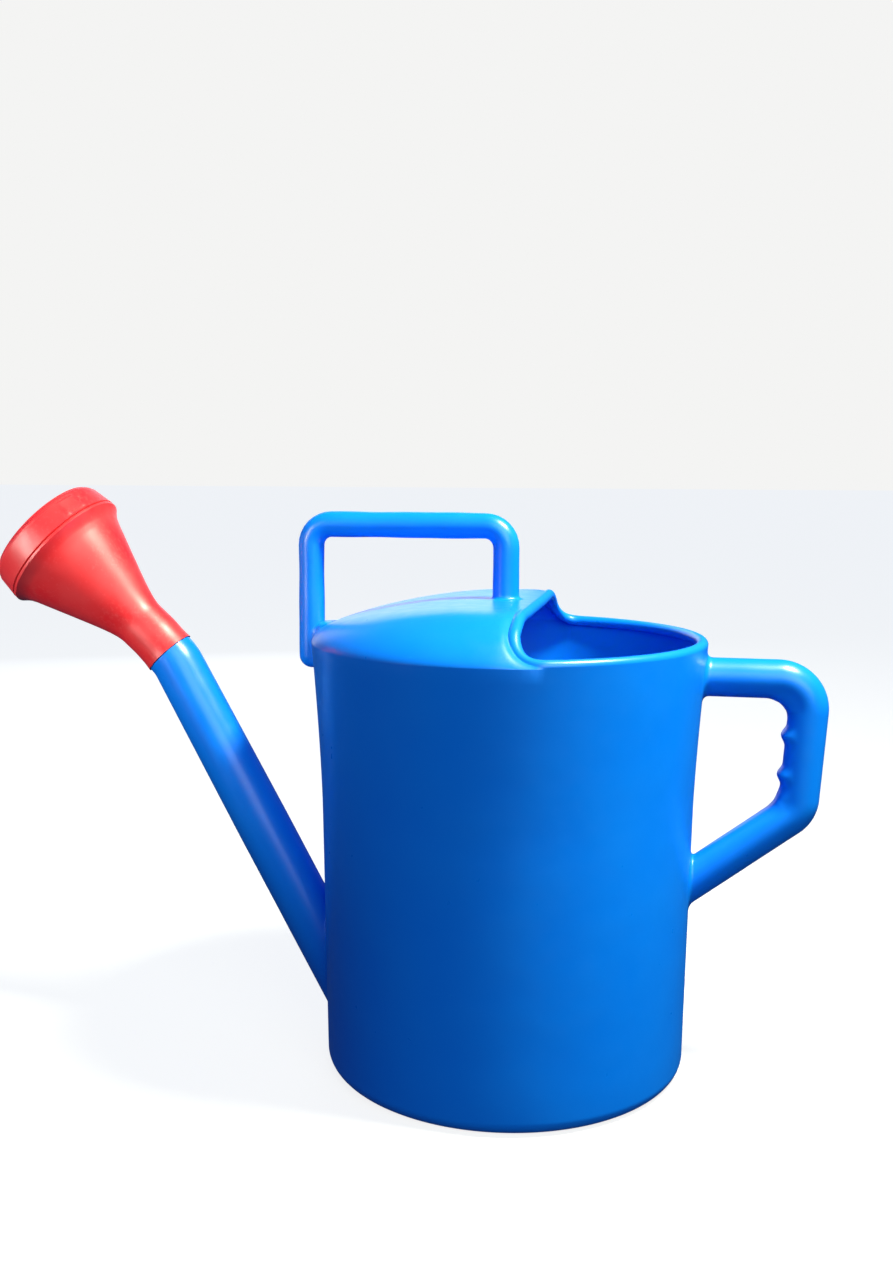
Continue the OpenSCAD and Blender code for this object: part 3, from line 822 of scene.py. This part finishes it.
def makeRoseFace():
    # a thin plate, slightly domed, made flat on the origin and then put in its place
    radius = rose["collarR"] + rose["gap"]
    across = np.concatenate([np.linspace(0, radius - 1, 22), [radius - 0.3, radius]])
    rise = rose["dome"] * (1 - (across / radius) ** 2)
    profile = [(r, z) for r, z in zip(across, rise)]
    profile += [(r, z - rose["wall"]) for r, z in zip(across[::-1], rise[::-1])]
    turn = np.linspace(0, 2 * math.pi, rose["turns"], endpoint=False)
    rows = np.array([[[r * math.cos(a), r * math.sin(a), z] for a in turn] for r, z in profile])
    face = makePiece("roseFace", rows, gridFaces(len(rows), rose["turns"]), rose["sharpAngle"])
    tree, holeR, pitch, paint = sprayTree()
    holes = face.modifiers.new("holes", "NODES")
    holes.node_group = tree
    holes[holeR] = rose["holeMm"] / 2 * mm
    holes[pitch] = rose["pitch"] * mm
    holes[paint] = rosePlastic
    applyModifiers(face)
    axis = direction(180 - rose["tilt"])
    end = (capStart() + rose["cap"] * axis) * mm
    z = Vector((axis[0], 0, axis[1]))
    x = Vector((0, 1, 0))
    y = z.cross(x)
    turnTo = Matrix((x, y, z)).transposed().to_4x4()
    face.data.transform(Matrix.Translation((end[0], 0, end[1])) @ turnTo)
    tidyMesh(face.data, rose["sharpAngle"])
    return face


roseBody = makeRoseBody()
roseCap = makeRoseCap()
roseFace = makeRoseFace()
print("rose made")


# every piece gets its finish and rides on its body
finishPiece(canBody, "can", "can_plastic", canPlastic, "tank_floor", "stand_ring", "wall_foot",
            "wall_middle", "wall_flare", "fill_rim", "hood", "hood_lip")
finishPiece(spoutSkin, "can", "can_plastic", canPlastic, "spout_foot", "spout_tube", "spout_end")
finishPiece(carryHandle, "can", "can_plastic", canPlastic, "carry_front_leg", "carry_bar",
            "carry_rear_leg")
finishPiece(carryLegWeb, "can", "can_plastic", canPlastic)
finishPiece(pourHandle, "can", "can_plastic", canPlastic, "pour_upper_arm",
            "pour_upper_corner", "pour_grip", "finger_ridges", "pour_lower_corner",
            "pour_lower_arm")
finishPiece(roseBody, "rose", "rose_plastic", rosePlastic, "rose_socket", "rose_neck",
            "rose_cone")
finishPiece(roseCap, "rose_cap", "rose_plastic", rosePlastic, "rose_cap")
finishPiece(roseFace, "rose_cap", "rose_plastic", rosePlastic, "rose_face")
# the tip inside the rose keeps its own shape
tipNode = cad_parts["spout_tip"]
tipNode.data.materials.clear()
tipNode.data.materials.append(canPlastic)
print("pieces placed")


# floor and light: away, size, target and floorHalf are in metres, turn, rise and spread
# in degrees; turn 0 is in front of the target and 90 is on the pouring handle's side
studio = dict(
    floorHalf=40, floor="#8C8C8A", floorGlow="#ECECEA", floorRoughness=0.8,
    backdrop="#F4F4F3", sky="#7CB4FF", skyStrength=0.33, ground=0.3, skyLow=-0.2, skyHigh=0.3,
    lights=dict(
        key=dict(turn=74, rise=60, away=0.85, size=0.15, strength=18, colour="#FFFFE6",
                 target=(0, 0, 0.2), spread=180),
        front=dict(turn=27, rise=28, away=1.6, size=1.0, strength=9.5, colour="#FFFFF0",
                   target=(0, 0, 0.18), spread=180),
        fill=dict(turn=-38, rise=8, away=0.5, size=0.3, strength=0.27, colour="#FFF0E6",
                  target=(-0.28, 0, 0.33), spread=30),
        back=dict(turn=205, rise=18, away=1.8, size=1.2, strength=6, colour="#F4F8FF",
                  target=(0, 0, 0.18), spread=180)))


def makeFloor():
    half = studio["floorHalf"]
    corners = [(-half, -half, 0), (half, -half, 0), (half, half, 0), (-half, half, 0)]
    mesh = bpy.data.meshes.new("floor")
    mesh.from_pydata(corners, [], [(0, 1, 2, 3)])
    floor = bpy.data.objects.new("floor", mesh)
    bpy.context.scene.collection.objects.link(floor)
    material = bpy.data.materials.new("paleFloor")
    material.use_nodes = True
    shader = material.node_tree.nodes["Principled BSDF"]
    shader.inputs["Base Color"].default_value = srgb(studio["floor"])
    shader.inputs["Roughness"].default_value = studio["floorRoughness"]
    shader.inputs["Emission Color"].default_value = srgb(studio["floorGlow"])
    shader.inputs["Emission Strength"].default_value = 1.0
    mesh.materials.append(material)
    # the floor throws no light or reflection back on the can
    floor.visible_diffuse = False
    floor.visible_glossy = False


def makeLight(name, light):
    turn, rise = math.radians(light["turn"]), math.radians(light["rise"])
    target = Vector(light["target"])
    place = target + light["away"] * Vector(
        (math.sin(turn) * math.cos(rise), -math.cos(turn) * math.cos(rise), math.sin(rise)))
    data = bpy.data.lights.new(name, "AREA")
    data.spread = math.radians(light["spread"])
    data.energy = light["strength"]
    data.size = light["size"]
    data.color = srgb(light["colour"])[:3]
    lamp = bpy.data.objects.new(name, data)
    bpy.context.scene.collection.objects.link(lamp)
    lamp.location = place
    lamp.rotation_euler = (target - place).to_track_quat("-Z", "Y").to_euler()


def makeWorld():
    # the camera sees a pale backdrop, and the can is lit by a softer sky
    world = bpy.data.worlds.new("studio")
    world.use_nodes = True
    tree = world.node_tree
    tree.nodes.clear()
    ray = addNode(tree, "ShaderNodeLightPath")
    heading = addNode(tree, "ShaderNodeTexCoord")
    rise = addNode(tree, "ShaderNodeSeparateXYZ", {"Vector": heading.outputs["Generated"]})
    strength = addNode(tree, "ShaderNodeMapRange", {
        "Value": rise.outputs["Z"], "From Min": studio["skyLow"], "From Max": studio["skyHigh"],
        "To Min": studio["ground"] * studio["skyStrength"], "To Max": studio["skyStrength"]})
    sky = addNode(tree, "ShaderNodeBackground", {
        "Color": srgb(studio["sky"]), "Strength": strength.outputs["Result"]})
    backdrop = addNode(tree, "ShaderNodeBackground", {"Color": srgb(studio["backdrop"])})
    both = addNode(tree, "ShaderNodeMixShader", {
        0: ray.outputs["Is Camera Ray"], 1: sky.outputs["Background"],
        2: backdrop.outputs["Background"]})
    addNode(tree, "ShaderNodeOutputWorld", {"Surface": both.outputs["Shader"]})
    bpy.context.scene.world = world


def makeStudio():
    makeFloor()
    makeWorld()
    for name, light in studio["lights"].items():
        makeLight(name + "Light", light)
    bpy.context.scene.view_settings.view_transform = "Standard"


makeStudio()
print("studio made")
